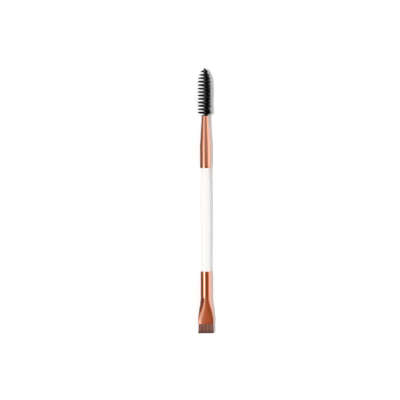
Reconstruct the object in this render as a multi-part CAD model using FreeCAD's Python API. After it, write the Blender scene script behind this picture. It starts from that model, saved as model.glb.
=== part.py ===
import FreeCAD, Part
import math
import os

# Dual-ended brush: a flat tuft at one end of a turned handle and a twisted-wire spoolie at the other.
# Millimetres, +Z up. The brush lies on a table as it comes to rest, with the flat tuft's broad side up.
#
# Each piece is drawn about a straight axis along +Y, with y = 0 at the cut end of the flat tuft, X across
# the flat head and the spoolie at the far end. The finished pieces are then laid down together, because
# the spoolie is thicker than the handle and lifts its end of the brush a little.
# The origin is on the table, under the middle of the brush.

# Thin metal tube that both ferrules are formed from
tube_diameter = 6.3
tube_wall = 0.3
rim_chamfer = 0.1

# Flat tuft of straight filaments
tuft_reach = 5.7
tuft_tip_width = 9.5
tuft_tip_thickness = 1.05
tuft_flutes = 26
tuft_flute_depth = 0.06
tuft_gap = 0.03

# Ferrule of the flat tuft, pressed from round to a flat mouth
flat_mouth_length = 1.0
flat_wedge_length = 15.7
flat_round_length = 16.2
flat_mouth_width = 9.6
flat_mouth_thickness = 1.6
flat_side_angle = 85.0
flat_side_facets = 17
flat_face_facets = 2
flat_wedge_bends = 4
flat_wedge_ease = 1.5

# Cured resin behind the flat tuft
tuft_root_depth = 6.2
tuft_resin_length = 5.5
resin_gap = 0.03

# Turned handle
handle_bare_length = 64.3
handle_belly_diameter = 6.3
handle_belly_from_flat_end = 36.5
handle_spigot_setback = 1.5
handle_end_chamfer = 0.4
handle_glue_gap = 0.05

# Ferrule of the spoolie, a straight stretch and a long cone
cone_straight_length = 14.4
cone_taper_length = 18.0
cone_taper_hollow = 0.06
cone_nose_diameter = 4.15

# Twisted wire stem of the spoolie
wire_diameter = 0.6
wire_flats = 6
wire_bends_per_turn = 12
wire_bare_length = 0.2
wire_tip_length = 0.4
wire_buried_length = 6.5
twist_pitch = 4.28
twist_start_angle = 20.0

# Cured resin that holds the stem in the cone's nose
stem_resin_length = 8.5
stem_resin_recess = 0.3
stem_bore_gap = 0.02

# Spoolie fibres, each lying straight across the stem between its two wires
fibre_thickness = 0.18
fibre_nip_gap = 0.01
fibre_press = 0.018
fibre_field_length = 29.1
spoolie_radius = 4.25
spoolie_base_radius = 2.2
spoolie_base_rise = 2.2
spoolie_tip_radius = 1.3
spoolie_tip_taper = 8.6

# Places along the axis
flat_mouth_y = tuft_reach
round_y = flat_mouth_y + flat_mouth_length + flat_wedge_length
flat_rim_y = round_y + flat_round_length
belly_y = flat_rim_y + handle_belly_from_flat_end
cone_rim_y = flat_rim_y + handle_bare_length
cone_y = cone_rim_y + cone_straight_length
nose_y = cone_y + cone_taper_length
field_y = nose_y + wire_bare_length
field_end_y = field_y + fibre_field_length
wire_end_y = field_end_y + wire_tip_length

# Sizes that follow from the tube
tube_radius = tube_diameter / 2
bore_radius = tube_radius - tube_wall
nose_radius = cone_nose_diameter / 2
spigot_radius = bore_radius - handle_glue_gap

# Sizes that follow from the wire
wire_radius = wire_diameter / 2
strand_radius = wire_radius + fibre_thickness / 2 + fibre_nip_gap
stem_radius = strand_radius + wire_radius

# Sizes of the flat ferrule's mouth, an oval of two wide arcs that run into a small arc at each side
side_cos = math.cos(math.radians(flat_side_angle))
side_sin = math.sin(math.radians(flat_side_angle))
mouth_bulge = (1 - side_sin) / side_cos
mouth_side_radius = (flat_mouth_thickness / 2 - mouth_bulge * flat_mouth_width / 2) / (1 - mouth_bulge)
mouth_side_x = flat_mouth_width / 2 - mouth_side_radius

# The axis and a point on it
AXIS = FreeCAD.Vector(0, 1, 0)
CENTRE = FreeCAD.Vector(0, 0, 0)


def turned(profile):
    """Solid of revolution about the axis, from a closed list of lines and arcs through (radius, y) points."""
    edges = []
    for item in profile:
        if len(item) == 3:
            edges.append(Part.Arc(*[FreeCAD.Vector(r, y, 0) for r, y in item]).toShape())
        else:
            edges.append(Part.makeLine(*[FreeCAD.Vector(r, y, 0) for r, y in item]))
    return Part.Face(Part.Wire(edges)).revolve(CENTRE, AXIS, 360)


def sides(corners):
    """Straight sides between neighbouring corners of an open outline."""
    return list(zip(corners, corners[1:]))


def bend_y(bend):
    """Place of the wedge's bend with this number, from 0 where it is round to the last at its mouth."""
    return round_y - flat_wedge_length * bend / flat_wedge_bends


def pressed_at_bend(bend):
    """How far the wedge is pressed at one of its bends, from 0 where it is round to 1 at its mouth."""
    return math.sin(math.pi / 2 * bend / flat_wedge_bends) ** flat_wedge_ease


def pressed_at(y):
    """How far the flat ferrule is pressed at y, in straight runs from bend to bend."""
    way = min(max((round_y - y) / flat_wedge_length, 0.0), 1.0) * flat_wedge_bends
    bend = min(int(way), flat_wedge_bends - 1)
    near = pressed_at_bend(bend)
    return near + (pressed_at_bend(bend + 1) - near) * (way - bend)


def oval_size(y, inset):
    """Radius and distance from the axis of the flat ferrule's side arcs at y, inset from its outer face."""
    pressed = pressed_at(y)
    side_radius = tube_radius + (mouth_side_radius - tube_radius) * pressed
    return side_radius - inset, mouth_side_x * pressed


def oval_point(side_radius, side_x, angle):
    """Point of the oval where it faces this angle in degrees, from 0 at its side to 90 at its top."""
    turn = math.radians(angle)
    if angle <= flat_side_angle:
        return side_x + side_radius * math.cos(turn), side_radius * math.sin(turn)
    face_radius = side_radius + side_x / side_cos
    face_z = (side_radius - face_radius) * side_sin
    return face_radius * math.cos(turn), face_z + face_radius * math.sin(turn)


def section(y, upper):
    """Corners of a closed section at y, from the upper half of its outline, which is mirrored below."""
    outline = upper + [(x, -z) for x, z in reversed(upper[:-1])]
    return [FreeCAD.Vector(x, y, z) for x, z in outline]


def oval_section(y, inset):
    """Section of the flat ferrule at y, inset from its outer face: round, or an oval where it is pressed."""
    angles = [flat_side_angle * facet / flat_side_facets for facet in range(flat_side_facets)]
    face_step = (90 - flat_side_angle) / flat_face_facets
    angles += [flat_side_angle + face_step * facet for facet in range(flat_face_facets + 1)]
    quarter = [oval_point(*oval_size(y, inset), angle) for angle in angles]
    return section(y, quarter + [(-x, z) for x, z in reversed(quarter[:-1])])


def wedge_sections(start, end, inset):
    """Sections of the flat ferrule at start, at each bend of its wedge up to end, and at end."""
    bends = [bend_y(bend) for bend in range(flat_wedge_bends, -1, -1)]
    places = [start] + [y for y in bends if start < y < end] + [end]
    return [oval_section(y, inset) for y in places]


def flat_sided(sections):
    """Solid through closed sections whose matching sides are parallel, with a flat face between each pair."""
    outlines = [sections[0], sections[-1]]
    for near, far in zip(sections, sections[1:]):
        outlines += [[a, b, c, d, a] for a, b, c, d in zip(near, near[1:], far[1:], far)]
    shell = Part.makeShell([Part.Face(Part.makePolygon(outline)) for outline in outlines])
    shell.sewShape()
    solid = Part.makeSolid(shell)
    if solid.Volume < 0:
        solid.reverse()
    return solid


def build_flat_ferrule():
    """Tube pressed flat at its mouth, open from end to end, with its round rim chamfered outside."""
    outer = wedge_sections(flat_mouth_y, flat_rim_y - rim_chamfer, 0)
    outer.append(oval_section(flat_rim_y, rim_chamfer))
    return flat_sided(outer).cut(flat_sided(wedge_sections(flat_mouth_y, flat_rim_y, tube_wall)))


def fluted_section(y, side_radius, side_x):
    """Section of the flat tuft at y: an oval whose edge is ridged by its outer filaments."""
    reach = side_x + side_radius
    edge = []
    for step in range(tuft_flutes + 1):
        x = reach * (2 * step / tuft_flutes - 1)
        edge.append((x, oval_height(x, side_radius, side_x)))
    upper = []
    for (x0, z0), (x1, z1) in sides(edge):
        chord = math.hypot(x1 - x0, z1 - z0)
        ridge_x = (x0 + x1) / 2 - tuft_flute_depth * (z1 - z0) / chord
        ridge_z = (z0 + z1) / 2 + tuft_flute_depth * (x1 - x0) / chord
        upper += [(x0, z0), (ridge_x, ridge_z)]
    return section(y, upper + edge[-1:])


def oval_height(x, side_radius, side_x):
    """Height of the oval's upper half at x."""
    shoulder_x = side_x + side_radius * side_cos
    if abs(x) >= shoulder_x:
        return math.sqrt(max(side_radius**2 - (abs(x) - side_x) ** 2, 0))
    face_radius = side_radius + side_x / side_cos
    return math.sqrt(face_radius**2 - x**2) + (side_radius - face_radius) * side_sin


def build_flat_tuft():
    """Flat tuft, cut straight at its tip, with straight filaments that close up a little towards the root."""
    root_y = flat_mouth_y + tuft_root_depth
    inset = tube_wall + tuft_gap + tuft_flute_depth
    mouth_radius, mouth_x = oval_size(flat_mouth_y, inset)
    root_x = sum(oval_size(root_y, inset)) - mouth_radius
    tip_radius = mouth_radius - (flat_mouth_thickness - tuft_tip_thickness) / 2 + tube_wall + tuft_gap
    tip_x = tuft_tip_width / 2 - tuft_flute_depth - tip_radius
    sections = [
        fluted_section(0, tip_radius, tip_x),
        fluted_section(flat_mouth_y, mouth_radius, mouth_x),
        fluted_section(root_y, mouth_radius, root_x),
    ]
    return Part.makeLoft([Part.makePolygon(corners) for corners in sections], True, True)


def build_tuft_resin():
    """Cured resin that fills the flat ferrule behind the tuft's root."""
    root_y = flat_mouth_y + tuft_root_depth
    return flat_sided(wedge_sections(root_y, root_y + tuft_resin_length, tube_wall + resin_gap))


def swell_arc(end_radius, end_y, peak_radius, peak_y):
    """Arc from the handle's end to its belly, level with the axis at the belly."""
    length = peak_y - end_y
    rise = peak_radius - end_radius
    radius = (length**2 + rise**2) / (2 * rise)
    half_angle = math.asin(length / radius) / 2
    middle = (peak_radius - radius * (1 - math.cos(half_angle)), peak_y - radius * math.sin(half_angle))
    return (end_radius, end_y), middle, (peak_radius, peak_y)


def build_handle():
    """Turned handle, thickest at its belly, with a plain spigot at each end inside a ferrule."""
    start = round_y + handle_spigot_setback
    end = cone_y - handle_spigot_setback
    belly = handle_belly_diameter / 2
    lower = [(0, start), (spigot_radius - handle_end_chamfer, start)]
    lower += [(spigot_radius, start + handle_end_chamfer), (spigot_radius, flat_rim_y)]
    upper = [(spigot_radius, cone_rim_y), (spigot_radius, end - handle_end_chamfer)]
    upper += [(spigot_radius - handle_end_chamfer, end), (0, end), (0, start)]
    swell = [swell_arc(spigot_radius, flat_rim_y, belly, belly_y)]
    swell.append(swell_arc(spigot_radius, cone_rim_y, belly, belly_y)[::-1])
    return turned(sides(lower) + swell + sides(upper))


def cone_radius(y, inset):
    """Radius of the cone ferrule's face at y, inset from its outer face: a long taper, a little hollow."""
    share = min(max((y - cone_y) / cone_taper_length, 0.0), 1.0)
    straight = tube_radius + (nose_radius - tube_radius) * share
    return straight - 4 * cone_taper_hollow * share * (1 - share) - inset


def taper_arc(start, end, inset):
    """Arc of the cone ferrule's face from one place on its taper to another."""
    return [(cone_radius(y, inset), y) for y in (start, (start + end) / 2, end)]


def build_cone_ferrule():
    """Thin tube, straight over the handle and drawn down to a nose round the stem."""
    outer_nose_y = nose_y - rim_chamfer
    rim = [(bore_radius, cone_rim_y), (tube_radius - rim_chamfer, cone_rim_y)]
    rim += [(tube_radius, cone_rim_y + rim_chamfer), (tube_radius, cone_y)]
    nose = [(cone_radius(outer_nose_y, 0), outer_nose_y), (nose_radius - rim_chamfer, nose_y)]
    nose.append((nose_radius - tube_wall, nose_y))
    outer, inner = taper_arc(cone_y, outer_nose_y, 0), taper_arc(nose_y, cone_y, tube_wall)
    return turned(sides(rim) + [outer] + sides(nose) + [inner, ((bore_radius, cone_y), rim[0])])


def build_stem_resin():
    """Cured resin in the nose of the cone, with the blind hole that the stem stands in."""
    front = nose_y - stem_resin_recess
    back = front - stem_resin_length
    hole_radius = stem_radius + stem_bore_gap
    hole_end = nose_y - wire_buried_length - wire_radius
    lining = taper_arc(back, front, tube_wall + resin_gap)
    hole = [lining[-1], (hole_radius, front), (hole_radius, hole_end), (0, hole_end), (0, back), lining[0]]
    return turned([lining] + sides(hole))


def twist_angle(y):
    """Direction of the fibres at y, in degrees from +X towards +Z. The stem is twisted left-handed."""
    return twist_start_angle + 360 * (y - field_y) / twist_pitch


def build_wire(side):
    """One of the stem's two wires, on this side of the fibres: short runs along a left-handed helix."""
    start_y = nose_y - wire_buried_length
    length = wire_end_y - start_y
    runs = round(length / twist_pitch * wire_bends_per_turn)
    path = []
    for bend in range(runs + 1):
        y = start_y + length * bend / runs
        turn = math.radians(twist_angle(y) + 90 * side)
        path.append(FreeCAD.Vector(strand_radius * math.cos(turn), y, strand_radius * math.sin(turn)))
    along = FreeCAD.Rotation(AXIS, path[1] - path[0])
    corners = []
    for flat in range(wire_flats + 1):
        turn = FreeCAD.Rotation(AXIS, 360 * flat / wire_flats)
        corners.append(path[0] + along.multVec(turn.multVec(FreeCAD.Vector(wire_radius, 0, 0))))
    return Part.makePolygon(path).makePipeShell([Part.makePolygon(corners)], True, False, 1)


def spoolie_reach(y):
    """Trimmed radius of the spoolie at y: a short rise at its base, a straight body and a rounded tip."""
    base = max(1 - (y - field_y) / spoolie_base_rise, 0.0)
    tip = max(1 - (field_end_y - y) / spoolie_tip_taper, 0.0)
    reach = spoolie_radius - (spoolie_radius - spoolie_base_radius) * base**2
    return reach - (spoolie_radius - spoolie_tip_radius) * tip**2


def fibre_places():
    """Place along the axis, direction in degrees and half length of each fibre."""
    spacing = fibre_thickness - fibre_press
    count = int((fibre_field_length - fibre_thickness) / spacing) + 1
    places = [field_y + fibre_thickness / 2 + spacing * step for step in range(count)]
    return [(y, twist_angle(y), spoolie_reach(y)) for y in places]


def build_bristles():
    """Spoolie fibres, pressed against each other where they cross the stem and free outside it."""
    fibres = []
    for y, angle, reach in fibre_places():
        corner = FreeCAD.Vector(-reach, -fibre_thickness / 2, -fibre_thickness / 2)
        fibre = Part.makeBox(2 * reach, fibre_thickness, fibre_thickness, corner)
        fibre.rotate(CENTRE, AXIS, -angle)
        fibre.translate(FreeCAD.Vector(0, y, 0))
        fibres.append(fibre)
    return fibres[0].multiFuse(fibres[1:])


def resting_slope():
    """Slope of the axis in degrees, with the fibres and the round end of the flat ferrule on the table."""
    slopes = []
    for y, angle, reach in fibre_places():
        depth = reach * abs(math.sin(math.radians(angle)))
        depth += fibre_thickness / 2 * abs(math.cos(math.radians(angle)))
        slopes.append(math.atan2(depth - tube_radius, y - round_y))
    return math.degrees(max(slopes))


def lay_down(shape):
    """Tip the piece to the brush's resting slope about its support, and bring it over the origin."""
    slope = resting_slope()
    support = FreeCAD.Vector(0, round_y, -tube_radius)
    middle = wire_end_y / 2
    shape.rotate(support, FreeCAD.Vector(1, 0, 0), slope)
    shape.translate(FreeCAD.Vector(0, -middle, tube_radius))
    return shape


pieces = {
    "handle": build_handle(),
    "brow_ferrule": build_flat_ferrule(),
    "brow_tuft": build_flat_tuft(),
    "brow_tuft_resin": build_tuft_resin(),
    "spoolie_ferrule": build_cone_ferrule(),
    "spoolie_stem_resin": build_stem_resin(),
    "spoolie_wire_left": build_wire(-1),
    "spoolie_wire_right": build_wire(1),
    "spoolie_bristles": build_bristles(),
}

os.makedirs("parts", exist_ok=True)
for name, shape in pieces.items():
    lay_down(shape).exportStep(f"parts/{name}.step")
    box = shape.optimalBoundingBox()
    print(f"{name}: {len(shape.Solids)} solid, valid {shape.isValid()}, {shape.Volume:.2f} mm3, "
          f"x {box.XMin:.2f} to {box.XMax:.2f}, y {box.YMin:.2f} to {box.YMax:.2f}, "
          f"z {box.ZMin:.3f} to {box.ZMax:.3f}")
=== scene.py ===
"""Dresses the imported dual-ended brush and lights it for a view from straight above.

Pieces are drawn in millimetres in the brush's own coordinates: X across the flat head, Y along the
brush from the cut tip of its flat tuft, Z up. Each finished mesh is then laid down in the frame,
which is in metres and holds the brush as it comes to rest on a table.
"""

import logging
import math
from collections.abc import Sequence
from dataclasses import dataclass
from enum import Enum

import bmesh
import bpy
from mathutils import Euler, Matrix, Vector


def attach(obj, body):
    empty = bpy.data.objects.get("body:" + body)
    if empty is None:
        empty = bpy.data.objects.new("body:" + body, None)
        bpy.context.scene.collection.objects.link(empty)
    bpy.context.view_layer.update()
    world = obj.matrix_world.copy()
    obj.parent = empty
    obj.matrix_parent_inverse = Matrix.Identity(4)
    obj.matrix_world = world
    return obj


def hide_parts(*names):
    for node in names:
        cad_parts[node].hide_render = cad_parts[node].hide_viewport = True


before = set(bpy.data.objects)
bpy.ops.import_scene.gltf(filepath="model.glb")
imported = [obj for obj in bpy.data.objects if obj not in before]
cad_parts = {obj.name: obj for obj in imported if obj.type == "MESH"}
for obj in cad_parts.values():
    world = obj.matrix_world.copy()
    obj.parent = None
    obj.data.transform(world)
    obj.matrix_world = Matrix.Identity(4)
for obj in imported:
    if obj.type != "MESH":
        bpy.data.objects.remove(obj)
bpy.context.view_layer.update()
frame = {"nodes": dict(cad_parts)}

MILLIMETRE = 0.001
SHARP_ANGLE = math.radians(50)
LIP_STEPS = 4
WHITE = (1.0, 1.0, 1.0)
LOG = logging.getLogger("brush")

Point = tuple[float, float]
Colour = tuple[float, float, float]
Mesh = bpy.types.Mesh
Material = bpy.types.Material
Socket = bpy.types.NodeSocket
Value = float | int | tuple[float, ...] | Socket


class Slot(Enum):
    """Slots of the record, one for each kind of new piece; nothing in the script reads them."""

    HANDLE = "white_handle"
    METAL = "rose_gold"
    TUFT = "brown_filament"
    WIRE = "stem_wire"
    FIBRE = "black_filament"


class Ends(Enum):
    """How a row of rings is closed at its two ends."""

    CAPPED = "a flat face over the first and the last ring"
    JOINED = "the last ring runs into the first, as on the wall of a tube"


class Strand(Enum):
    """The stem's two wires, by the side of the fibres that each lies on."""

    LEFT = -1
    RIGHT = 1


def run(start: float, end: float, steps: int) -> list[float]:
    """Evenly spaced places from start to end, both of them included."""
    return [start + (end - start) * step / steps for step in range(steps + 1)]


def new_object(name: str, data: bpy.types.ID) -> bpy.types.Object:
    """Put a new object in the scene.

    Args:
        name: Name of the object.
        data: Its mesh, lamp or camera.

    Returns:
        The object.
    """
    thing = bpy.data.objects.new(name, data)
    bpy.context.scene.collection.objects.link(thing)
    return thing


def read_lay(handle: bpy.types.Object, start: float) -> Matrix:
    """Read where the brush lies from the middles of the handle's two end faces.

    Args:
        handle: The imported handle, whose end faces are square to its axis.
        start: Place of its first end face along the brush.

    Returns:
        What takes a point from the brush's millimetres to the frame's metres.
    """
    corners = {tuple(round(value, 7) for value in vertex.co) for vertex in handle.data.vertices}
    depth = 0.1 * MILLIMETRE
    lowest, highest = min(c[1] for c in corners), max(c[1] for c in corners)
    near = [Vector(c) for c in corners if c[1] < lowest + depth]
    far = [Vector(c) for c in corners if c[1] > highest - depth]
    first = sum(near, Vector()) / len(near)
    along = (sum(far, Vector()) / len(far) - first).normalized()
    across = Vector((1, 0, 0))
    turn = Matrix((across, along, across.cross(along))).transposed().to_4x4()
    origin = first - along * start * MILLIMETRE
    return Matrix.Translation(origin) @ turn @ Matrix.Scale(MILLIMETRE, 4)


@dataclass(frozen=True)
class Tube:
    """Thin metal tube that both ferrules are formed from."""

    radius: float = 3.15
    wall: float = 0.3
    lip: float = 0.1

    @property
    def bore(self) -> float:
        """Radius inside the tube."""
        return self.radius - self.wall


class Nodes:
    """The nodes of a shader tree, added and linked one by one."""

    def __init__(self, tree: bpy.types.NodeTree) -> None:
        """Keep the tree."""
        self.tree = tree

    def add(self, kind: str, **inputs: Value) -> bpy.types.Node:
        """Add a node and fill its inputs.

        Args:
            kind: Blender's name of the node type.
            inputs: Values or sockets for its inputs, with underscores for spaces.

        Returns:
            The new node.
        """
        node = self.tree.nodes.new(kind)
        for name, value in inputs.items():
            self.fill(node.inputs[name.replace("_", " ")], value)
        return node

    def fill(self, socket: Socket, value: Value) -> None:
        """Link a socket to another, or give it a value of its own."""
        if isinstance(value, Socket):
            self.tree.links.new(value, socket)
        else:
            socket.default_value = value

    def math(self, operation: str, first: Value, second: Value) -> Socket:
        """Work out a number from two others.

        Args:
            operation: Blender's name of the operation.
            first: The first number.
            second: The second number.

        Returns:
            The socket of the result.
        """
        node = self.add("ShaderNodeMath")
        node.operation = operation
        self.fill(node.inputs[0], first)
        self.fill(node.inputs[1], second)
        return node.outputs["Value"]

    def noise(self, stretch: Colour, detail: float = 2.0, roughness: float = 0.5) -> Socket:
        """Noise on the object's own coordinates.

        Args:
            stretch: Cycles of the noise for each metre along X, Y and Z.
            detail: Number of finer layers.
            roughness: Weight of the finer layers.

        Returns:
            The socket of the noise, from 0 to 1.
        """
        place = self.add("ShaderNodeTexCoord").outputs["Object"]
        scaled = self.add("ShaderNodeMapping", Vector=place, Scale=stretch).outputs["Vector"]
        noise = self.add("ShaderNodeTexNoise", Vector=scaled, Scale=1.0, Detail=detail, Roughness=roughness)
        return noise.outputs["Fac"]

    def attribute(self, name: str) -> Socket:
        """Number that the mesh carries under this name."""
        node = self.add("ShaderNodeAttribute")
        node.attribute_name = name
        return node.outputs["Fac"]

    def between(self, share: Value, low: Value, high: Value) -> Socket:
        """Number that runs from low to high as share runs from 0 to 1."""
        return self.add("ShaderNodeMapRange", Value=share, To_Min=low, To_Max=high).outputs["Result"]

    def ease(self, value: Value, span: Point) -> Socket:
        """Number that eases from 0 to 1 as a value runs through a span."""
        node = self.add("ShaderNodeMapRange", Value=value, From_Min=span[0], From_Max=span[1])
        node.interpolation_type = "SMOOTHSTEP"
        return node.outputs["Result"]

    def levels(self, angle: Value, levels: Sequence[Point]) -> Socket:
        """Level that changes with an angle.

        Args:
            angle: The angle, from 0 to pi.
            levels: Degrees and level of each corner of the curve.

        Returns:
            The socket of the level.
        """
        ramp = self.add("ShaderNodeFloatCurve", Value=self.math("DIVIDE", angle, math.pi))
        peak = max(level for _, level in levels)
        curve = ramp.mapping.curves[0]
        for point, (degrees, level) in zip(curve.points, (levels[0], levels[-1])):
            point.location = (degrees / 180, level / peak)
        for degrees, level in levels[1:-1]:
            curve.points.new(degrees / 180, level / peak)
        ramp.mapping.update()
        return self.between(ramp.outputs["Value"], 0.0, peak)

    def seen(self) -> Socket:
        """1 for what the camera sees, also mirrored or through glass, and 0 for what lights the scene."""
        path = self.add("ShaderNodeLightPath").outputs
        mirrored = self.math("MAXIMUM", path["Is Camera Ray"], path["Is Glossy Ray"])
        return self.math("MAXIMUM", mirrored, path["Is Transmission Ray"])

    def blend(self, share: Value, first: Value, second: Value) -> Socket:
        """Mix two colours.

        Args:
            share: Share of the second colour.
            first: Colour at 0.
            second: Colour at 1.

        Returns:
            The socket of the mixed colour.
        """
        node = self.tree.nodes.new("ShaderNodeMix")
        node.data_type = "RGBA"
        sockets = {socket.identifier: socket for socket in node.inputs}
        self.fill(sockets["Factor_Float"], share)
        for name, colour in (("A_Color", first), ("B_Color", second)):
            self.fill(sockets[name], colour if isinstance(colour, Socket) else (*colour, 1.0))
        return next(socket for socket in node.outputs if socket.identifier == "Result_Color")


class Shader(Nodes):
    """A material's node tree, built around its Principled shader."""

    def __init__(self, name: str) -> None:
        """Start a material with this name."""
        self.material = bpy.data.materials.new(name)
        self.material.use_nodes = True
        super().__init__(self.material.node_tree)
        self.surface = self.tree.nodes["Principled BSDF"]
        self.output = self.tree.nodes["Material Output"].inputs["Surface"]

    def set(self, **inputs: Value) -> None:
        """Fill inputs of the Principled shader, with underscores for spaces."""
        for name, value in inputs.items():
            self.fill(self.surface.inputs[name.replace("_", " ")], value)

    def bump(self, height: Value, depth: float) -> None:
        """Raise the surface's normal by a height from 0 to 1, this many metres deep."""
        self.set(Normal=self.add("ShaderNodeBump", Height=height, Distance=depth).outputs["Normal"])

    def glow(self, colour: Value, strength: Value) -> Socket:
        """Light that the surface gives off."""
        return self.add("ShaderNodeEmission", Color=colour, Strength=strength).outputs["Emission"]


@dataclass(frozen=True)
class Lacquer:
    """Glossy white lacquer of the handle, with a faint orange-peel surface."""

    colour: Colour = (0.895, 0.885, 0.865)
    shade: Colour = (0.875, 0.863, 0.84)
    roughness: Point = (0.16, 0.3)
    clouds: Colour = (90, 30, 90)
    marks: Colour = (400, 60, 400)
    peel: Colour = (900, 700, 900)
    peel_depth: float = 0.000006

    def material(self) -> Material:
        """Make the handle's material."""
        shader = Shader("white_lacquer")
        shader.set(Base_Color=shader.blend(shader.noise(self.clouds), self.colour, self.shade))
        shader.set(Roughness=shader.between(shader.noise(self.marks, 3.0), *self.roughness))
        shader.set(Coat_Weight=0.15, Coat_Roughness=0.08, Specular_IOR_Level=0.25)
        shader.bump(shader.noise(self.peel), self.peel_depth)
        return shader.material


@dataclass(frozen=True)
class RoseGold:
    """Rose-gold anodised aluminium with a clear coat, drawn smooth along the tube."""

    colour: Colour = (0.95, 0.455, 0.31)
    deep: Colour = (0.92, 0.415, 0.275)
    edge: Colour = (1.0, 0.75, 0.62)
    roughness: Point = (0.12, 0.22)
    clouds: Colour = (140, 60, 140)
    streaks: Colour = (1800, 25, 1800)
    streak_depth: float = 0.0000012

    def material(self) -> Material:
        """Make the ferrules' material."""
        shader = Shader("rose_gold_metal")
        streaks = shader.noise(self.streaks, 3.0, 0.6)
        shader.set(Base_Color=shader.blend(shader.noise(self.clouds), self.colour, self.deep))
        shader.set(Roughness=shader.between(streaks, *self.roughness), Metallic=1.0)
        shader.set(Specular_Tint=(*self.edge, 1.0), Coat_Weight=0.6, Coat_Roughness=0.04)
        shader.bump(streaks, self.streak_depth)
        return shader.material


@dataclass(frozen=True)
class Filament:
    """Drawn plastic filament whose shade changes from one to the next.

    Args:
        name: Name of the material.
        dark: Colour of the darkest filaments.
        light: Colour of the lightest filaments.
        tip: Colour that the filaments turn to at their cut ends.
        tip_share: How far the cut ends turn to that colour.
        gloss: Roughness of the filaments.
        shine: Level of their reflection, 0.5 for plain plastic.
        tip_start: Way along a filament where its cut end begins to turn.
        mottle: Cycles of noise for each metre.
        mottle_span: Least and most share of the tint that the noise leaves.
        mottle_depth: Depth of the noise in metres.
        dull: Roughness that the noise adds.
    """

    name: str
    dark: Colour
    light: Colour
    tip: Colour
    tip_share: float
    gloss: float
    shine: float
    tip_start: float = 0.8
    mottle: Colour = (5000, 600, 5000)
    mottle_span: Point = (0.6, 1.2)
    mottle_depth: float = 0.000004
    dull: float = 0.15

    def material(self) -> Material:
        """Make the filaments' material, which reads their tint and their way along."""
        shader = Shader(self.name)
        mottle = shader.noise(self.mottle, 1.0)
        shade = shader.between(mottle, *self.mottle_span)
        tint = shader.math("MULTIPLY", shader.attribute("tint"), shade)
        body = shader.blend(tint, self.dark, self.light)
        ends = shader.ease(shader.attribute("along"), (self.tip_start, 1.0))
        shader.set(Base_Color=shader.blend(shader.between(ends, 0.0, self.tip_share), body, self.tip))
        shader.set(Roughness=shader.between(mottle, self.gloss, self.gloss + self.dull))
        shader.set(Specular_IOR_Level=self.shine)
        shader.bump(mottle, self.mottle_depth)
        return shader.material


BROWN = Filament(
    name="brown_filament",
    dark=(0.08, 0.032, 0.022),
    light=(0.46, 0.2, 0.155),
    tip=(0.06, 0.026, 0.02),
    tip_share=0.8,
    gloss=0.4,
    shine=0.35,
)
BLACK = Filament(
    name="black_filament",
    dark=(0.0015, 0.0015, 0.0018),
    light=(0.006, 0.006, 0.0065),
    tip=(0.004, 0.004, 0.0045),
    tip_share=0.4,
    gloss=0.35,
    shine=0.1,
)


@dataclass(frozen=True)
class Steel:
    """Drawn steel of the stem's wires."""

    colour: Colour = (0.36, 0.355, 0.35)
    deep: Colour = (0.24, 0.235, 0.23)
    roughness: Point = (0.2, 0.4)
    marks: Colour = (2500, 900, 2500)
    mark_depth: float = 0.000002

    def material(self) -> Material:
        """Make the wires' material."""
        shader = Shader("drawn_steel")
        marks = shader.noise(self.marks, 3.0)
        shader.set(Base_Color=shader.blend(marks, self.colour, self.deep), Metallic=1.0)
        shader.set(Roughness=shader.between(marks, *self.roughness))
        shader.bump(marks, self.mark_depth)
        return shader.material


@dataclass(frozen=True)
class Resin:
    """Cured amber resin that holds the tuft and the stem."""

    colour: Colour = (0.42, 0.27, 0.14)
    deep: Colour = (0.24, 0.13, 0.06)
    roughness: Point = (0.15, 0.35)
    swirls: Colour = (700, 700, 700)
    swirl_depth: float = 0.00003

    def material(self) -> Material:
        """Make the resin's material."""
        shader = Shader("amber_resin")
        swirls = shader.noise(self.swirls, 3.0)
        shader.set(Base_Color=shader.blend(swirls, self.colour, self.deep))
        shader.set(Roughness=shader.between(swirls, *self.roughness), Coat_Weight=0.3)
        shader.bump(swirls, self.swirl_depth)
        return shader.material


class Term:
    """What a node of a geometry node group gives. Numbers can be reckoned with as in a formula."""

    def __init__(self, growth: "Growth", socket: Socket) -> None:
        """Keep the group and the socket."""
        self.growth = growth
        self.socket = socket

    def __add__(self, other: "Input") -> "Term":
        """Sum of two numbers."""
        return self.growth.math("ADD", self, other)

    def __sub__(self, other: "Input") -> "Term":
        """This number less another."""
        return self.growth.math("SUBTRACT", self, other)

    def __rsub__(self, other: float) -> "Term":
        """Another number less this one."""
        return self.growth.math("SUBTRACT", other, self)

    def __mul__(self, other: "Input") -> "Term":
        """Product of two numbers."""
        return self.growth.math("MULTIPLY", self, other)

    def __truediv__(self, other: "Input") -> "Term":
        """This number divided by another."""
        return self.growth.math("DIVIDE", self, other)

    def __pow__(self, power: float) -> "Term":
        """This number raised to a power."""
        return self.growth.math("POWER", self, power)

    def __neg__(self) -> "Term":
        """This number with its sign turned."""
        return self.growth.math("MULTIPLY", self, -1.0)

    def __abs__(self) -> "Term":
        """This number without its sign."""
        return self.growth.math("ABSOLUTE", self)


Input = Value | Term


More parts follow.
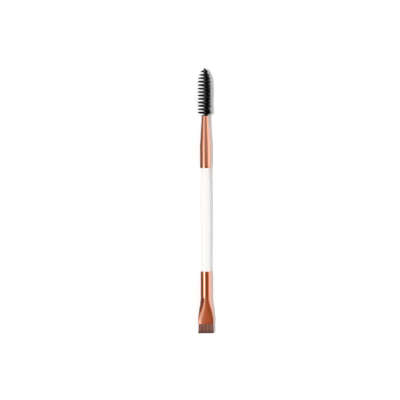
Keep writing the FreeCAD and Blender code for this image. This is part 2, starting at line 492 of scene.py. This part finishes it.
class Growth:
    """A geometry node group with named inputs, built node by node."""

    def __init__(self, name: str) -> None:
        """Start a group that takes no geometry and gives one back."""
        self.tree = bpy.data.node_groups.new(name, "GeometryNodeTree")
        self.tree.is_modifier = True
        for way in ("INPUT", "OUTPUT"):
            self.tree.interface.new_socket("Geometry", in_out=way, socket_type="NodeSocketGeometry")
        self.start = self.tree.nodes.new("NodeGroupInput")
        self.end = self.tree.nodes.new("NodeGroupOutput")

    def size(self, name: str, value: float | int) -> Term:
        """Add a named input.

        Args:
            name: Name of the input.
            value: Its value.

        Returns:
            The number inside the group.
        """
        kind = "NodeSocketInt" if isinstance(value, int) else "NodeSocketFloat"
        socket = self.tree.interface.new_socket(name, in_out="INPUT", socket_type=kind)
        socket.default_value = value
        return Term(self, self.start.outputs[name])

    def node(self, kind: str, *inputs: Input | None, **settings: str | bool) -> bpy.types.Node:
        """Add a node.

        Args:
            kind: Blender's name of the node type.
            inputs: Values or terms for its shown inputs in order, with None for one left alone.
            settings: Properties of the node, set before its inputs.

        Returns:
            The new node.
        """
        node = self.tree.nodes.new(kind)
        for name, value in settings.items():
            setattr(node, name, value)
        shown = [socket for socket in node.inputs if socket.enabled]
        for socket, value in zip(shown, inputs):
            if isinstance(value, Term):
                self.tree.links.new(value.socket, socket)
            elif value is not None:
                socket.default_value = value
        return node

    def add(self, kind: str, *inputs: Input | None, **settings: str | bool) -> Term:
        """Add a node as above and return its first shown output."""
        outputs = self.node(kind, *inputs, **settings).outputs
        return Term(self, next(socket for socket in outputs if socket.enabled))

    def math(self, operation: str, *inputs: Input) -> Term:
        """Number worked out from other numbers."""
        return self.add("ShaderNodeMath", *inputs, operation=operation)

    def positive(self, number: Term) -> Term:
        """The number where it is above 0, and 0 elsewhere."""
        return self.math("MAXIMUM", number, 0.0)

    def vector(self, x: Input, y: Input, z: Input) -> Term:
        """Vector put together from three numbers."""
        return self.add("ShaderNodeCombineXYZ", x, y, z)

    def position(self) -> tuple[Term, ...]:
        """X, Y and Z of each point."""
        parts = self.node("ShaderNodeSeparateXYZ", self.add("GeometryNodeInputPosition"))
        return tuple(Term(self, socket) for socket in parts.outputs)

    def chance(self, low: Input, high: Input, seed: Input) -> Term:
        """Random number for each point or instance."""
        return self.add("FunctionNodeRandomValue", low, high, None, seed, data_type="FLOAT")

    def store(self, geometry: Term, name: str, value: Input, domain: str = "INSTANCE") -> Term:
        """Keep a number on the geometry under a name."""
        settings = {"data_type": "FLOAT", "domain": domain}
        return self.add("GeometryNodeStoreNamedAttribute", geometry, None, name, value, **settings)

    def kept(self, name: str) -> Term:
        """Number kept earlier under a name."""
        return self.add("GeometryNodeInputNamedAttribute", name, data_type="FLOAT")

    def line(self, start: Input, end: Input, points: Input) -> Term:
        """Straight curve from start to end with this many points."""
        line = self.add("GeometryNodeCurvePrimitiveLine", start, end, mode="POINTS")
        return self.add("GeometryNodeResampleCurve", line, None, points, mode="COUNT")

    def finish(self, curve: Term, place: Term, radius: Term, sides: int) -> None:
        """End the group with a round body along each curve.

        Args:
            curve: The curves.
            place: Where their points go.
            radius: Radius of the bodies.
            sides: Number of flats round each.
        """
        laid = self.add("GeometryNodeSetPosition", curve, None, place)
        ring = self.add("GeometryNodeCurvePrimitiveCircle", sides, radius, mode="RADIUS")
        body = self.node("GeometryNodeCurveToMesh", laid, ring)
        body.inputs["Fill Caps"].default_value = True
        real = self.add("GeometryNodeRealizeInstances", Term(self, body.outputs["Mesh"]))
        smooth = self.add("GeometryNodeSetShadeSmooth", real)
        self.tree.links.new(smooth.socket, self.end.inputs[0])

    def mesh(self, name: str) -> Mesh:
        """Run the group and return what it makes as a plain mesh.

        Args:
            name: Name of the mesh.

        Returns:
            The mesh, with the group's kept numbers.
        """
        holder = new_object(name, bpy.data.meshes.new(name + "_seed"))
        holder.modifiers.new("growth", "NODES").node_group = self.tree
        graph = bpy.context.evaluated_depsgraph_get()
        graph.update()
        made = bpy.data.meshes.new_from_object(holder.evaluated_get(graph))
        bpy.data.objects.remove(holder)
        made.name = name
        return made


@dataclass(frozen=True)
class Workshop:
    """Turns meshes in the brush's coordinates into pieces of the frame.

    Args:
        lay: Takes a point from the brush's millimetres to the frame's metres.
        lathe_sides: Number of flats round a turned piece.
    """

    lay: Matrix
    lathe_sides: int = 96

    def rings(self, name: str, rings: Sequence[Sequence[Vector]], ends: Ends) -> Mesh:
        """Skin a row of rings that have the same number of points.

        Args:
            name: Name of the mesh.
            rings: The rings, each a closed row of points.
            ends: How the row is closed.

        Returns:
            The closed mesh, smooth but for its sharp edges.
        """
        shape = bmesh.new()
        rows = [[shape.verts.new(point) for point in ring] for ring in rings]
        pairs = list(zip(rows, rows[1:]))
        if ends is Ends.JOINED:
            pairs.append((rows[-1], rows[0]))
        else:
            shape.faces.new(rows[0])
            shape.faces.new(rows[-1])
        for near, far in pairs:
            for index in range(len(near)):
                after = (index + 1) % len(near)
                shape.faces.new((near[index], near[after], far[after], far[index]))
        bmesh.ops.recalc_face_normals(shape, faces=shape.faces)
        mesh = bpy.data.meshes.new(name)
        shape.to_mesh(mesh)
        shape.free()
        mesh.shade_smooth()
        mesh.set_sharp_from_angle(angle=SHARP_ANGLE)
        return mesh

    def lathe(self, name: str, profile: Sequence[Point], ends: Ends) -> Mesh:
        """Turn a profile about the brush's axis.

        Args:
            name: Name of the mesh.
            profile: Radius and place along the brush of each corner.
            ends: How the profile is closed.

        Returns:
            The closed mesh.
        """
        turns = [math.tau * side / self.lathe_sides for side in range(self.lathe_sides)]
        rings = [[Vector((r * math.cos(a), y, r * math.sin(a))) for a in turns] for r, y in profile]
        return self.rings(name, rings, ends)

    def place(
        self, mesh: Mesh, material: Material, nodes: Sequence[str], slot: Slot
    ) -> None:
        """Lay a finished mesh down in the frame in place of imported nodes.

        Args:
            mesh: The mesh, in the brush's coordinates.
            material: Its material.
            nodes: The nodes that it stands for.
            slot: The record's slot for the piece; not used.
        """
        mesh.materials.append(material)
        mesh.transform(self.lay)
        piece = new_object(mesh.name, mesh)
        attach(piece, "root")
        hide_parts(*nodes)
        LOG.info("%s: %d faces in place of %s", piece.name, len(mesh.polygons), ", ".join(nodes))


def lip_round(radius: float, y: float, lip: float, inward: float) -> list[Point]:
    """Rounded outer edge of a tube's rim.

    Args:
        radius: Outer radius of the tube.
        y: Place of the rim's end.
        lip: Radius of the rounding.
        inward: Direction along the brush from the rim into the tube, 1 or -1.

    Returns:
        Corners from the tube's side to its end.
    """
    turns = run(0.0, math.pi / 2, LIP_STEPS)
    return [(radius - lip + lip * math.cos(a), y + inward * lip * (1 - math.sin(a))) for a in turns]


@dataclass
class Handle:
    """Turned white handle: a slim barrel with a plain spigot inside each ferrule."""

    workshop: Workshop
    tube: Tube = Tube()
    start: float = 23.9
    flat_rim: float = 38.6
    belly_from_rim: float = 36.5
    bare_length: float = 64.3
    end: float = 115.8
    belly_radius: float = 3.15
    glue_gap: float = 0.05
    end_chamfer: float = 0.4
    barrel_steps: int = 64

    def profile(self) -> list[Point]:
        """Radius and place of the handle's corners. Its barrel is two arcs that meet at the belly."""
        spigot = self.tube.bore - self.glue_gap
        cone_rim = self.flat_rim + self.bare_length
        belly = self.flat_rim + self.belly_from_rim
        swell = self.belly_radius - spigot
        barrel = []
        for y in run(self.flat_rim, cone_rim, self.barrel_steps):
            length = belly - self.flat_rim if y < belly else cone_rim - belly
            barrel.append((self.belly_radius - swell * ((y - belly) / length) ** 2, y))
        first = [(spigot - self.end_chamfer, self.start), (spigot, self.start + self.end_chamfer)]
        last = [(spigot, self.end - self.end_chamfer), (spigot - self.end_chamfer, self.end)]
        return first + barrel + last

    def build(self) -> None:
        """Make the handle and give it its lacquer."""
        mesh = self.workshop.lathe("lacquered_handle", self.profile(), Ends.CAPPED)
        self.workshop.place(mesh, Lacquer().material(), ["handle"], Slot.HANDLE)


@dataclass
class FlatHead:
    """Flat tuft of straight filaments in a ferrule that is pressed flat at its mouth."""

    workshop: Workshop
    tube: Tube = Tube()
    reach: float = 5.7
    tip_width: float = 9.5
    tip_thickness: float = 1.05
    root_depth: float = 6.2
    mouth_length: float = 1.0
    wedge_length: float = 15.7
    round_length: float = 16.2
    mouth_width: float = 9.6
    mouth_thickness: float = 1.6
    mouth_squareness: float = 2.1
    wedge_ease: float = 1.5
    ring_points: int = 112
    wedge_rings: int = 48
    tube_rings: int = 12
    bore_rings: int = 60
    tuft_gap: float = 0.03
    tuft_slack: float = 0.02
    root_pinch: float = 0.35
    filaments_across: int = 76
    filaments_deep: int = 9
    filament_points: int = 6
    filament_sides: int = 5
    filament_radius: float = 0.075
    streak_depth: float = 0.6
    streak_span: Point = (0.4, 0.6)
    streak_share: float = 0.7
    seed: int = 11

    @property
    def rim(self) -> float:
        """Place of the ferrule's round rim along the brush."""
        return self.reach + self.mouth_length + self.wedge_length + self.round_length

    def ring(self, y: float, inset: float) -> list[Vector]:
        """Section of the ferrule.

        Args:
            y: Place along the brush.
            inset: Depth under the outer face.

        Returns:
            Points round the section, which goes from a circle to a squared oval as the tube is pressed.
        """
        way = min(max((self.rim - self.round_length - y) / self.wedge_length, 0.0), 1.0)
        pressed = math.sin(math.pi / 2 * way) ** self.wedge_ease
        wide = self.tube.radius + (self.mouth_width / 2 - self.tube.radius) * pressed - inset
        thick = self.tube.radius + (self.mouth_thickness / 2 - self.tube.radius) * pressed - inset
        power = 2 / (2 + (self.mouth_squareness - 2) * pressed)
        outline = []
        for step in range(self.ring_points):
            turn = math.tau * (step + 0.5) / self.ring_points
            x = math.copysign(abs(math.cos(turn)) ** power, math.cos(turn))
            z = math.copysign(abs(math.sin(turn)) ** power, math.sin(turn))
            outline.append(Vector((wide * x, y, thick * z)))
        return outline

    def ferrule(self) -> Mesh:
        """Skin the pressed tube, with rounded lips at its mouth and its rim."""
        lip, wedge_end = self.tube.lip, self.rim - self.round_length
        mouth = [(y, -r) for r, y in lip_round(0.0, self.reach, lip, 1.0)[::-1]]
        sides = [(y, 0.0) for y in run(self.reach + lip, wedge_end, self.wedge_rings)[1:]]
        tube = [(y, 0.0) for y in run(wedge_end, self.rim - lip, self.tube_rings)[1:-1]]
        rim = [(y, -r) for r, y in lip_round(0.0, self.rim, lip, -1.0)]
        bore = [(y, self.tube.wall) for y in run(self.rim, self.reach, self.bore_rings)]
        rings = [self.ring(y, inset) for y, inset in mouth + sides + tube + rim + bore]
        return self.workshop.rings("pressed_ferrule", rings, Ends.JOINED)

    def tuft(self) -> Mesh:
        """Grow the flat tuft, straight filaments in an oval bundle with an even cut tip."""
        grow = Growth("flat_tuft")
        root = grow.size("Root", self.reach + self.root_depth)
        mouth = grow.size("Mouth", self.reach)
        inset = self.tube.wall + self.tuft_gap + self.filament_radius
        mouth_width = grow.size("Mouth half width", self.mouth_width / 2 - inset)
        tip_width = grow.size("Tip half width", self.tip_width / 2 - self.filament_radius)
        root_width = grow.size("Root half width", self.mouth_width / 2 - inset - self.root_pinch)
        mouth_deep = grow.size("Mouth half thickness", self.mouth_thickness / 2 - inset - self.tuft_slack)
        tip_deep = grow.size("Tip half thickness", self.tip_thickness / 2 - self.filament_radius)
        radius = grow.size("Filament radius", self.filament_radius)
        uneven = grow.size("Uneven tip", 0.16)
        wander = grow.size("Wander", 0.5)
        streaks = grow.size("Streaks", 1.1)
        seed = grow.size("Seed", self.seed)

        across, deep = self.filaments_across, self.filaments_deep
        grid = grow.add("GeometryNodeMeshGrid", 2.0, 2.0, across, deep)
        strand = grow.line((0, 0, 0), (0, 0, 1), self.filament_points)
        bundle = grow.add("GeometryNodeInstanceOnPoints", grid, None, strand)
        x, y, _ = grow.position()
        shift = wander / (across / 2)
        bundle = grow.store(bundle, "across", x + grow.chance(-shift, shift, seed))
        bundle = grow.store(bundle, "deep", y)
        streak = grow.add("ShaderNodeTexNoise", grow.vector(x * streaks, y * self.streak_depth, 0.0))
        streak = grow.add("ShaderNodeMapRange", streak, *self.streak_span, 0.0, 1.0)
        tint = grow.chance(0.0, 1.0, seed + 1) * (1 - self.streak_share)
        bundle = grow.store(bundle, "tint", streak * self.streak_share + tint)
        bundle = grow.store(bundle, "cut", grow.chance(0.0, uneven, seed + 2))
        bundle = grow.add("GeometryNodeRealizeInstances", bundle)
        bundle = grow.store(bundle, "along", grow.add("GeometryNodeSplineParameter"), "POINT")

        y = grow.kept("along") * (grow.kept("cut") - root) + root
        outside = grow.positive((mouth - y) / mouth)
        inside = grow.positive((y - mouth) / (root - mouth))
        spread = outside * (tip_width - mouth_width) + mouth_width
        spread = inside * (root_width - mouth_width) + spread
        thick = outside * (tip_deep - mouth_deep) + mouth_deep
        x = grow.kept("across") * spread
        corner = grow.positive(abs(x) - (spread - thick)) / thick
        squeeze = grow.math("SQRT", grow.positive(1.0 - corner * corner))
        place = grow.vector(x, y, grow.kept("deep") * thick * squeeze)
        grow.finish(bundle, place, radius, self.filament_sides)
        return grow.mesh("filament_tuft")

    def build(self, metal: Material) -> None:
        """Make the ferrule and the tuft.

        Args:
            metal: The ferrule's material.
        """
        self.workshop.place(self.ferrule(), metal, ["brow_ferrule"], Slot.METAL)
        self.workshop.place(self.tuft(), BROWN.material(), ["brow_tuft"], Slot.TUFT)


@dataclass
class Spoolie:
    """Twisted-wire brush: a cone ferrule, two wires and the fibres that they pinch."""

    workshop: Workshop
    tube: Tube = Tube()
    cone_rim: float = 102.9
    straight_length: float = 14.4
    taper_length: float = 18.0
    taper_hollow: float = 0.06
    nose_radius: float = 2.075
    wire_radius: float = 0.3
    strand_radius: float = 0.4
    buried_length: float = 6.5
    bare_length: float = 0.2
    tip_length: float = 0.4
    pitch: float = 4.28
    start_angle: float = 20.0
    field_length: float = 29.1
    reach: float = 4.25
    base_radius: float = 2.2
    base_rise: float = 2.2
    tip_radius: float = 1.3
    tip_taper: float = 8.6
    ferrule_steps: tuple[int, int, int] = (10, 32, 40)
    wire_bends: int = 280
    wire_sides: int = 14
    fibres: int = 1090
    fibre_radius: float = 0.068
    fibre_points: int = 9
    fibre_sides: int = 4
    trim_slack: float = 0.02
    drift_cycles: float = 0.45
    bend_span: Point = (1.1, 3.0)
    splay_power: float = 1.5
    along_power: float = 3.0
    seed: int = 5

    @property
    def nose(self) -> float:
        """Place of the cone's nose along the brush."""
        return self.cone_rim + self.straight_length + self.taper_length

    @property
    def field_start(self) -> float:
        """Place where the fibres begin."""
        return self.nose + self.bare_length

    def cone_radius(self, y: float) -> float:
        """Outer radius of the cone ferrule at y: straight, then a long taper that is a little hollow."""
        share = min(max((y - self.cone_rim - self.straight_length) / self.taper_length, 0.0), 1.0)
        straight = self.tube.radius + (self.nose_radius - self.tube.radius) * share
        return straight - 4 * self.taper_hollow * share * (1 - share)

    def ferrule(self) -> Mesh:
        """Turn the cone ferrule, with rounded lips at its rim and its nose."""
        lip, wall = self.tube.lip, self.tube.wall
        side_steps, taper_steps, bore_steps = self.ferrule_steps
        cone = self.cone_rim + self.straight_length
        rim = lip_round(self.tube.radius, self.cone_rim, lip, 1.0)[::-1]
        side = [(self.cone_radius(y), y) for y in run(self.cone_rim + lip, cone, side_steps)[1:-1]]
        taper = [(self.cone_radius(y), y) for y in run(cone, self.nose - lip, taper_steps)[:-1]]
        nose = lip_round(self.nose_radius, self.nose, lip, -1.0)
        bore = [(self.cone_radius(y) - wall, y) for y in run(self.nose, self.cone_rim, bore_steps)]
        return self.workshop.lathe("cone_ferrule", rim + side + taper + nose + bore, Ends.JOINED)

    def wire(self, strand: Strand) -> Mesh:
        """Twist one of the stem's wires.

        Args:
            strand: Which wire.

        Returns:
            The wire, a round body on a left-handed helix with closed ends.
        """
        grow = Growth("stem_wire_" + strand.name.lower())
        first = grow.size("First", self.nose - self.buried_length)
        last = grow.size("Last", self.field_start + self.field_length + self.tip_length)
        field_start = grow.size("Field start", self.field_start)
        pitch = grow.size("Pitch", self.pitch)
        angle = grow.size("Start angle", math.radians(self.start_angle) + strand.value * math.pi / 2)
        strand_radius = grow.size("Strand radius", self.strand_radius)
        wire_radius = grow.size("Wire radius", self.wire_radius)
        bends = grow.size("Bends", self.wire_bends)

        line = grow.line(grow.vector(0.0, first, 0.0), grow.vector(0.0, last, 0.0), bends)
        y = grow.position()[1]
        turn = (y - field_start) / pitch * math.tau + angle
        x, z = (strand_radius * grow.math(wave, turn) for wave in ("COSINE", "SINE"))
        grow.finish(line, grow.vector(x, y, z), wire_radius, self.wire_sides)
        return grow.mesh("twisted_wire_" + strand.name.lower())

    def bristles(self) -> Mesh:
        """Grow the fibres, each across the stem and turned with its twist.

        On the left they close up into comb rows. On the right they splay.

        Returns:
            The mesh of all fibres.
        """
        grow = Growth("spoolie_fibres")
        count = grow.size("Fibres", self.fibres)
        first = grow.size("Field start", self.field_start)
        length = grow.size("Field length", self.field_length)
        pitch = grow.size("Pitch", self.pitch)
        start_angle = grow.size("Start angle", math.radians(self.start_angle))
        reach = grow.size("Reach", self.reach - self.trim_slack)
        base_loss = grow.size("Base loss", self.reach - self.base_radius)
        base_rise = grow.size("Base rise", self.base_rise)
        tip_loss = grow.size("Tip loss", self.reach - self.tip_radius)
        tip_taper = grow.size("Tip taper", self.tip_taper)
        scatter = grow.size("Scatter", math.radians(6.0))
        drift = grow.size("Drift", math.radians(75.0))
        uneven = grow.size("Uneven trim", 0.09)
        comb = grow.size("Comb", 0.34)
        gather = grow.size("Gather", 0.8)
        lean = grow.size("Lean", 0.22)
        parting = grow.size("Parting", math.radians(66.0))
        splay = grow.size("Splay", 0.95)
        ragged = grow.size("Ragged", 0.26)
        longer = grow.size("Longer rows", 0.07)
        pointed = grow.size("Pointed rows", 0.22)
        radius = grow.size("Fibre radius", self.fibre_radius)
        seed = grow.size("Seed", self.seed)

        spacing = length / (count + 1.0)
        start, step = grow.vector(0.0, first + spacing, 0.0), grow.vector(0.0, spacing, 0.0)
        line = grow.add("GeometryNodeMeshLine", count, start, step, mode="OFFSET")

        y = grow.position()[1]
        from_base = y - first
        turn = from_base / pitch * math.tau + start_angle + grow.chance(-scatter, scatter, seed)
        wave = grow.add("ShaderNodeTexNoise", grow.vector(0.0, y * self.drift_cycles, 0.0))
        turn = (wave - 0.5) * drift + turn
        base = grow.positive(1.0 - from_base / base_rise)
        tip = grow.positive(1.0 - (length - from_base) / tip_taper)
        trim = reach - base ** 2.0 * base_loss - tip ** 2.0 * tip_loss
        trim = trim * grow.chance(1.0 - uneven, 1.0, seed)

        fibre = grow.line((-1, 0, 0), (1, 0, 0), self.fibre_points)
        heading = grow.vector(0.0, -turn, 0.0)
        inputs = line, None, fibre, None, None, heading, grow.vector(trim, 1.0, 1.0)
        brush = grow.add("GeometryNodeInstanceOnPoints", *inputs)
        brush = grow.store(brush, "tint", grow.chance(0.0, 1.0, seed + 1))
        brush = grow.store(brush, "stray", grow.chance(-1.0, 1.0, seed + 2))
        brush = grow.store(brush, "short", grow.chance(0.0, ragged, seed + 3))
        brush = grow.add("GeometryNodeRealizeInstances", brush)

        x, y, z = grow.position()
        radial = grow.math("SQRT", x * x + z * z)
        share = radial / reach
        brush = grow.store(brush, "along", share ** self.along_power, "POINT")
        lift = grow.math("ARCTAN2", z, -x)
        from_left = abs(lift)
        span = *self.bend_span, 0.0, 1.0
        bent = grow.add("ShaderNodeMapRange", radial, *span, interpolation_type="SMOOTHSTEP")
        right = grow.math("GREATER_THAN", from_left, parting)
        left = 1.0 - right
        row = lift / math.tau * pitch * left * (comb * bent)
        loose = grow.kept("stray") * splay * right * share ** self.splay_power
        swung_left = from_left * (1.0 - gather * left * bent)
        swung_right = math.pi - (math.pi - from_left) * (1.0 - lean * right * bent)
        swung = right * (swung_right - swung_left) + swung_left
        swung = swung * grow.math("SIGN", lift)
        cut = 1.0 - grow.kept("short") * right
        cut = (longer - (from_left / parting) ** 2.0 * pointed) * left + cut
        out = radial * cut
        x = -out * grow.math("COSINE", swung)
        z = out * grow.math("SINE", swung)
        grow.finish(brush, grow.vector(x, y + (row + loose), z), radius, self.fibre_sides)
        return grow.mesh("fibre_field")

    def build(self, metal: Material) -> None:
        """Make the ferrule, the wires and the fibres.

        Args:
            metal: The ferrule's material.
        """
        self.workshop.place(self.ferrule(), metal, ["spoolie_ferrule"], Slot.METAL)
        steel = Steel().material()
        for strand in Strand:
            node = "spoolie_wire_" + strand.name.lower()
            self.workshop.place(self.wire(strand), steel, [node], Slot.WIRE)
        self.workshop.place(self.bristles(), BLACK.material(), ["spoolie_bristles"], Slot.FIBRE)


@dataclass
class Studio:
    """White floor, plain dome, two lamps, a card and a tent that only reflections see, and the camera."""

    camera_height: float = 0.6955
    camera_aim: Point = (-0.00331, 0.00054)
    camera_roll: float = -0.3
    lens_mm: float = 100.0
    sensor_mm: float = 36.0
    floor_half: float = 3.0
    floor_white: float = 0.98
    floor_grain: float = 0.99
    floor_clouds: Colour = (60, 60, 60)
    floor_lift: float = 0.06
    key_elevation: float = 67.0
    key_strength: float = 1.88
    key_angle: float = 2.0
    fill_elevation: float = 20.0
    fill_strength: float = 0.72
    fill_angle: float = 30.0
    dome_strength: float = 0.475
    tent_radius: float = 0.4
    tent_half_length: float = 1.6
    tent_steps: int = 90
    tent_levels: tuple[Point, ...] = (
        (0, 1.1), (10, 0.95), (24, 0.6), (36, 0.38), (50, 0.25), (64, 0.22),
        (78, 0.25), (90, 0.28), (99, 0.42), (108, 1.4), (116, 2.7), (128, 2.6),
        (140, 0.95), (150, 0.5), (159, 0.26), (170, 0.15), (180, 0.12),
    )
    tent_near_levels: tuple[Point, ...] = (
        (0, 1.1), (10, 0.95), (24, 0.65), (38, 0.4), (50, 0.3), (62, 0.3),
        (75, 0.42), (92, 0.47), (100, 0.54), (108, 0.76), (117, 0.92), (123, 0.72),
        (131, 0.42), (140, 0.18), (180, 0.13),
    )
    tent_far_levels: tuple[Point, ...] = (
        (0, 1.45), (10, 1.3), (31, 0.62), (45, 0.47), (58, 0.42), (79, 0.4),
        (90, 0.48), (101, 0.72), (113, 1.0), (125, 1.25), (137, 0.85), (149, 0.42),
        (160, 0.28), (180, 0.2),
    )
    tent_warm: Colour = (1.0, 0.42, 0.2)
    tent_warmth: Point = (0.42, 0.75)
    tent_far_warmth: float = 0.35
    tent_near_fade: Point = (-0.1, -0.143)
    tent_far_fade: Point = (-0.02, 0.05)
    card_near: float = 0.0045
    card_far: float = 0.16
    card_half_length: float = 0.16
    card_height: float = 0.0001
    card_colour: Colour = (0.2, 0.17, 0.15)

    def strip(self, name: str, line: Sequence[Point], far: float) -> Mesh:
        """Draw a line out along the brush.

        Args:
            name: Name of the mesh.
            line: Place across the brush and height of each corner, from right to left.
            far: Half the length that it is drawn out to.

        Returns:
            The mesh, a row of four-sided faces.
        """
        corners = [(x, y, z) for x, z in line for y in (-far, far)]
        faces = [(2 * step, 2 * step + 1, 2 * step + 3, 2 * step + 2) for step in range(len(line) - 1)]
        mesh = bpy.data.meshes.new(name)
        mesh.from_pydata(corners, [], faces)
        return mesh

    def floor(self) -> None:
        """Lay a white floor that keeps shadows and shows as white in the metal."""
        half = self.floor_half
        mesh = self.strip("studio_floor", [(half, 0.0), (-half, 0.0)], half)
        shader = Shader("studio_floor")
        white = self.floor_white
        grain = shader.noise(self.floor_clouds)
        shader.set(Base_Color=shader.blend(grain, (white,) * 3, (white * self.floor_grain,) * 3))
        shader.set(Roughness=0.9, Specular_IOR_Level=0.0)
        both = shader.add("ShaderNodeAddShader")
        shader.fill(both.inputs[0], shader.surface.outputs["BSDF"])
        lift = shader.between(shader.seen(), 0.0, self.floor_lift)
        shader.fill(both.inputs[1], shader.glow((*WHITE, 1.0), lift))
        shader.fill(shader.output, both.outputs["Shader"])
        self.show(mesh, shader)

    def card(self) -> None:
        """Lay a dark card left of the brush, which only reflections see."""
        line = [(-self.card_near, self.card_height), (-self.card_far, self.card_height)]
        mesh = self.strip("studio_card", line, self.card_half_length)
        shader = Shader("studio_card")
        shader.set(Base_Color=(*self.card_colour, 1.0), Roughness=0.9, Specular_IOR_Level=0.0)
        self.show_in_reflections(mesh, shader)

    def tent(self) -> None:
        """Hang a tent of bright and dark bands over the brush, which only reflections see."""
        turns = run(0.0, math.pi, self.tent_steps)
        arch = [(self.tent_radius * math.cos(turn), self.tent_radius * math.sin(turn)) for turn in turns]
        mesh = self.strip("studio_tent", arch, self.tent_half_length)
        shader = Shader("studio_tent")
        place = shader.add("ShaderNodeTexCoord").outputs["Object"]
        x, y, z = shader.add("ShaderNodeSeparateXYZ", Vector=place).outputs
        angle = shader.math("ARCTAN2", z, x)
        near = shader.ease(y, self.tent_near_fade)
        far = shader.ease(y, self.tent_far_fade)
        level = shader.levels(angle, self.tent_levels)
        level = shader.between(near, level, shader.levels(angle, self.tent_near_levels))
        level = shader.between(far, level, shader.levels(angle, self.tent_far_levels))
        tint = shader.blend(shader.ease(level, self.tent_warmth), self.tent_warm, WHITE)
        tint = shader.blend(shader.between(far, 0.0, 1.0 - self.tent_far_warmth), tint, WHITE)
        shader.fill(shader.output, shader.glow(tint, level))
        self.show_in_reflections(mesh, shader)

    def show(self, mesh: Mesh, shader: Shader) -> bpy.types.Object:
        """Put a mesh in the scene as part of the stage.

        Args:
            mesh: The mesh, whose name the new object takes.
            shader: Its material.

        Returns:
            The object.
        """
        mesh.materials.append(shader.material)
        thing = new_object(mesh.name, mesh)
        return thing

    def show_in_reflections(self, mesh: Mesh, shader: Shader) -> None:
        """Put a mesh in the scene that casts nothing and shows only where the brush is glossy.

        Args:
            mesh: The mesh.
            shader: Its material.
        """
        thing = self.show(mesh, shader)
        for kind in ("camera", "diffuse", "shadow", "transmission", "volume_scatter"):
            setattr(thing, "visible_" + kind, False)

    def world(self) -> None:
        """Light the scene with an even dome, white where it is seen, also in the metal."""
        world = bpy.data.worlds.new("studio_dome")
        bpy.context.scene.world = world
        world.use_nodes = True
        dome = Nodes(world.node_tree)
        light = dome.tree.nodes["Background"].inputs
        dome.fill(light["Color"], (*WHITE, 1.0))
        dome.fill(light["Strength"], dome.between(dome.seen(), self.dome_strength, 1.0))

    def lamp(self, name: str, elevation: float, strength: float, angle: float) -> None:
        """Hang a distant lamp that the brush doesn't mirror.

        Args:
            name: Name of the lamp.
            elevation: Degrees above the floor, from the right over the top to the left.
            strength: Light that it gives to a surface square to it.
            angle: Degrees that the lamp spans, which soften its shadow.
        """
        light = bpy.data.lights.new(name, "SUN")
        light.energy = strength
        light.angle = math.radians(angle)
        holder = new_object(name, light)
        holder.rotation_euler = Euler((0.0, math.radians(90.0 - elevation), 0.0))
        holder.visible_glossy = False

    def camera(self) -> None:
        """Hang the camera straight above the brush, with the spoolie at the top of the picture."""
        lens = bpy.data.cameras.new("overhead")
        lens.lens = self.lens_mm
        lens.sensor_width = self.sensor_mm
        holder = new_object("overhead", lens)
        holder.location = (*self.camera_aim, self.camera_height)
        holder.rotation_euler = Euler((0.0, 0.0, math.radians(self.camera_roll)))
        bpy.context.scene.camera = holder

    def build(self) -> None:
        """Set up the whole stage."""
        self.floor()
        self.card()
        self.tent()
        self.world()
        self.lamp("key", 180.0 - self.key_elevation, self.key_strength, self.key_angle)
        self.lamp("fill", self.fill_elevation, self.fill_strength, self.fill_angle)
        self.camera()
        bpy.context.scene.view_settings.view_transform = "Standard"


def finish_resin(nodes: dict[str, bpy.types.Object]) -> None:
    """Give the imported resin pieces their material.

    Args:
        nodes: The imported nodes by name.
    """
    resin = Resin().material()
    for name in ("brow_tuft_resin", "spoolie_stem_resin"):
        nodes[name].data.materials.clear()
        nodes[name].data.materials.append(resin)
        LOG.info("%s: packed mesh with a new finish", name)


def main() -> None:
    """Dress the brush and set up the studio."""
    logging.basicConfig(level=logging.INFO, format="%(name)s %(message)s")
    workshop = Workshop(read_lay(frame["nodes"]["handle"], Handle.start))
    metal = RoseGold().material()
    Handle(workshop).build()
    FlatHead(workshop).build(metal)
    Spoolie(workshop).build(metal)
    finish_resin(frame["nodes"])
    Studio().build()


if __name__ == "__main__":
    main()
